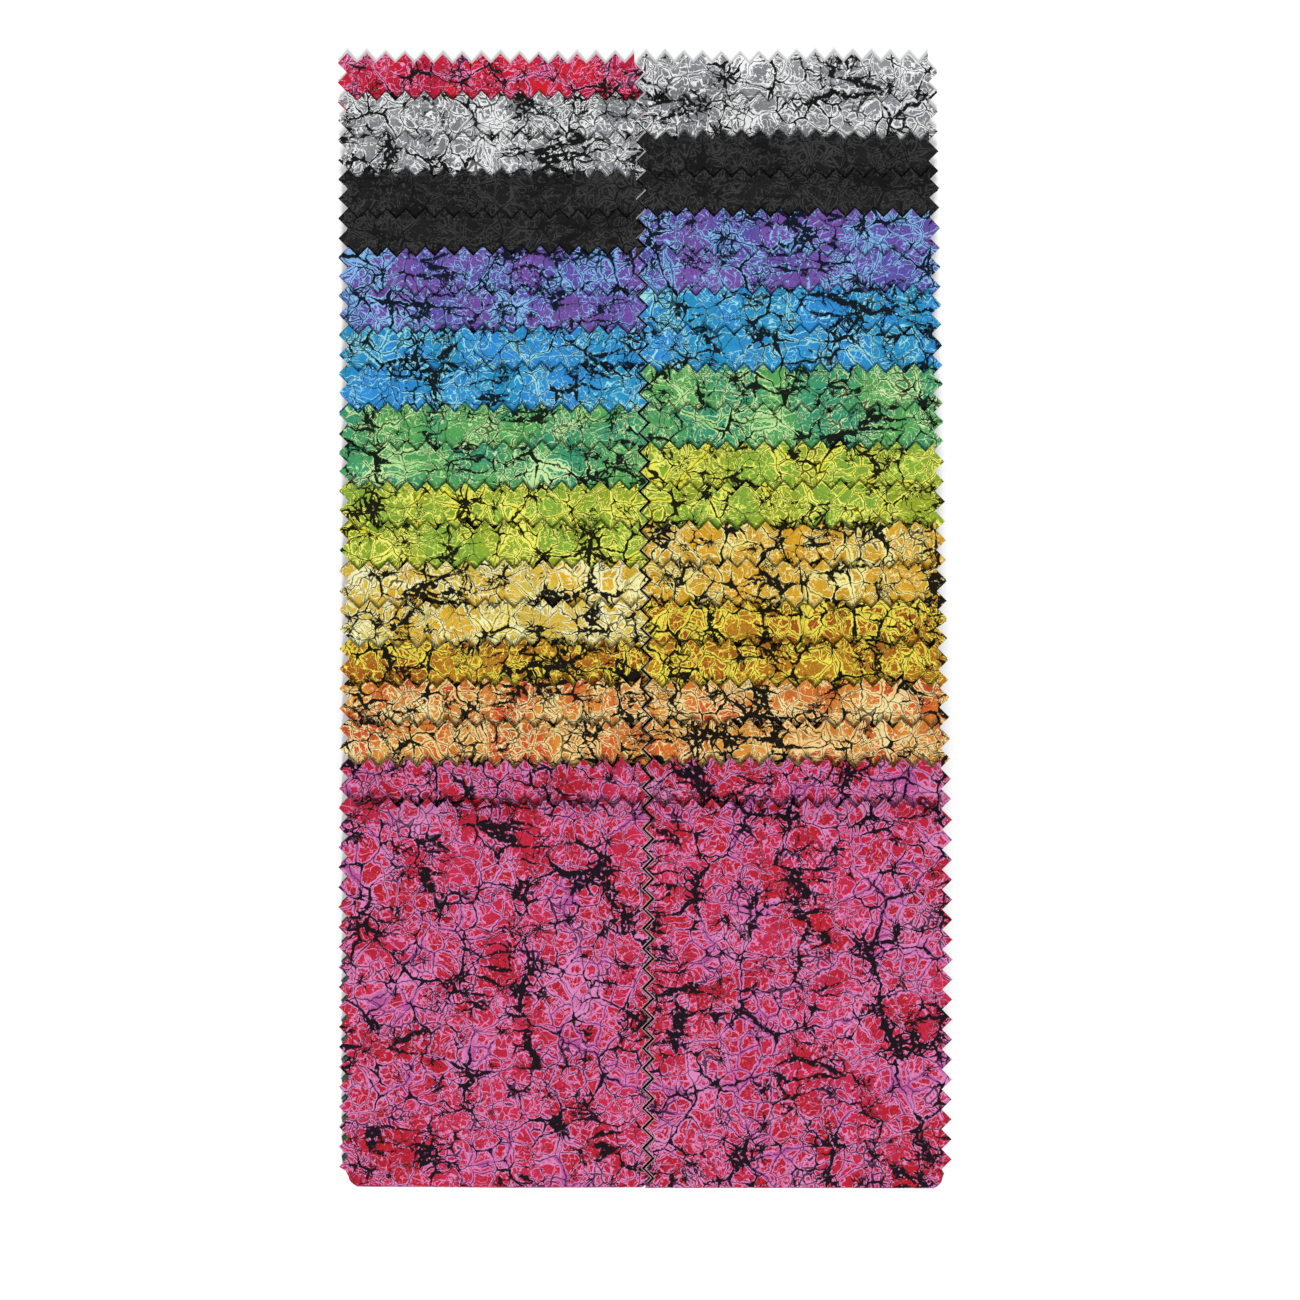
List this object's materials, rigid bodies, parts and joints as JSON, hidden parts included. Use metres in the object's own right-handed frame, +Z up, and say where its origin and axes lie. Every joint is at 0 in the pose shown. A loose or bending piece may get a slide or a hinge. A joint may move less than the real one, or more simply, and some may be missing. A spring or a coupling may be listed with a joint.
{
  "type": "fanned pack of pinked fabric strips",
  "caption": "Pinked strips of printed quilting cotton, each folded flat, lying fanned in two columns so that a band of every print shows.",
  "frame": {"origin": "middle of the pack's footprint, on the surface that it lies on", "axes": "+Y along the strips from their folds to their pinked ends, +X across the two columns to the right, +Z up"},
  "size_m": [0.126, 0.2328, 0.0419],
  "materials": {
    "red_print": "matt printed cotton",
    "grey_print": "matt printed cotton",
    "black_print": "matt printed cotton",
    "purple_print": "matt printed cotton",
    "blue_print": "matt printed cotton",
    "green_print": "matt printed cotton",
    "lime_print": "matt printed cotton",
    "yellow_print": "matt printed cotton",
    "gold_print": "matt printed cotton",
    "amber_print": "matt printed cotton",
    "orange_print": "matt printed cotton",
    "pink_print": "matt printed cotton"
  },
  "bodies": {
    "root": {"left_strip_01": "red_print", "left_strip_02": "grey_print", "left_strip_03": "grey_print", "left_strip_04": "black_print", "left_strip_05": "black_print", "left_strip_06": "purple_print", "left_strip_07": "purple_print", "left_strip_08": "blue_print", "left_strip_09": "blue_print", "left_strip_10": "green_print", "left_strip_11": "green_print", "left_strip_12": "lime_print", "left_strip_13": "lime_print", "left_strip_14": "yellow_print", "left_strip_15": "yellow_print", "left_strip_16": "amber_print", "left_strip_17": "orange_print", "left_strip_18": "orange_print", "left_strip_19": "pink_print", "left_strip_20": "pink_print", "right_strip_01": "grey_print", "right_strip_02": "grey_print", "right_strip_03": "black_print", "right_strip_04": "black_print", "right_strip_05": "purple_print", "right_strip_06": "purple_print", "right_strip_07": "blue_print", "right_strip_08": "blue_print", "right_strip_09": "green_print", "right_strip_10": "green_print", "right_strip_11": "lime_print", "right_strip_12": "lime_print", "right_strip_13": "gold_print", "right_strip_14": "gold_print", "right_strip_15": "amber_print", "right_strip_16": "amber_print", "right_strip_17": "orange_print", "right_strip_18": "orange_print", "right_strip_19": "pink_print", "right_strip_20": "pink_print"}
  },
  "joints": []
}
